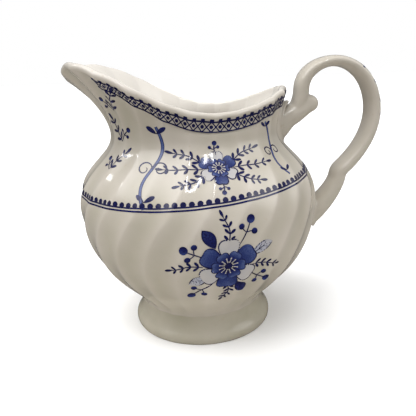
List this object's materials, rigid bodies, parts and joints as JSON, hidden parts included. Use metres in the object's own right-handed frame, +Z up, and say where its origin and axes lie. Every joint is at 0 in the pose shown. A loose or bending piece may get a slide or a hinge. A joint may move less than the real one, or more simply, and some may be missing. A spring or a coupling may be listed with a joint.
{
  "type": "cream jug",
  "caption": "Glazed white cream jug on a spreading foot, with spiral-fluted belly, wide pulled spout, loop handle and blue floral transfer print.",
  "frame": {"origin": "centre of the jug's footprint box, on the surface it stands on; the bowl's own axis stands 11.6 mm to the spout side of it", "axes": "+Z up out of the mouth, +X towards the handle, -X towards the spout, +Y to the far side when the handle is on the right"},
  "size_m": [0.1196, 0.0932, 0.1044],
  "materials": {
    "glazed_body": "gloss",
    "glazed_foot": "gloss",
    "glazed_handle": "gloss",
    "joint_slip": "gloss"
  },
  "bodies": {
    "root": {"jug_body": "glazed_body", "foot_ring": "glazed_foot", "handle": "glazed_handle", "upper_slip_joint": "joint_slip", "lower_slip_joint": "joint_slip"}
  },
  "joints": []
}
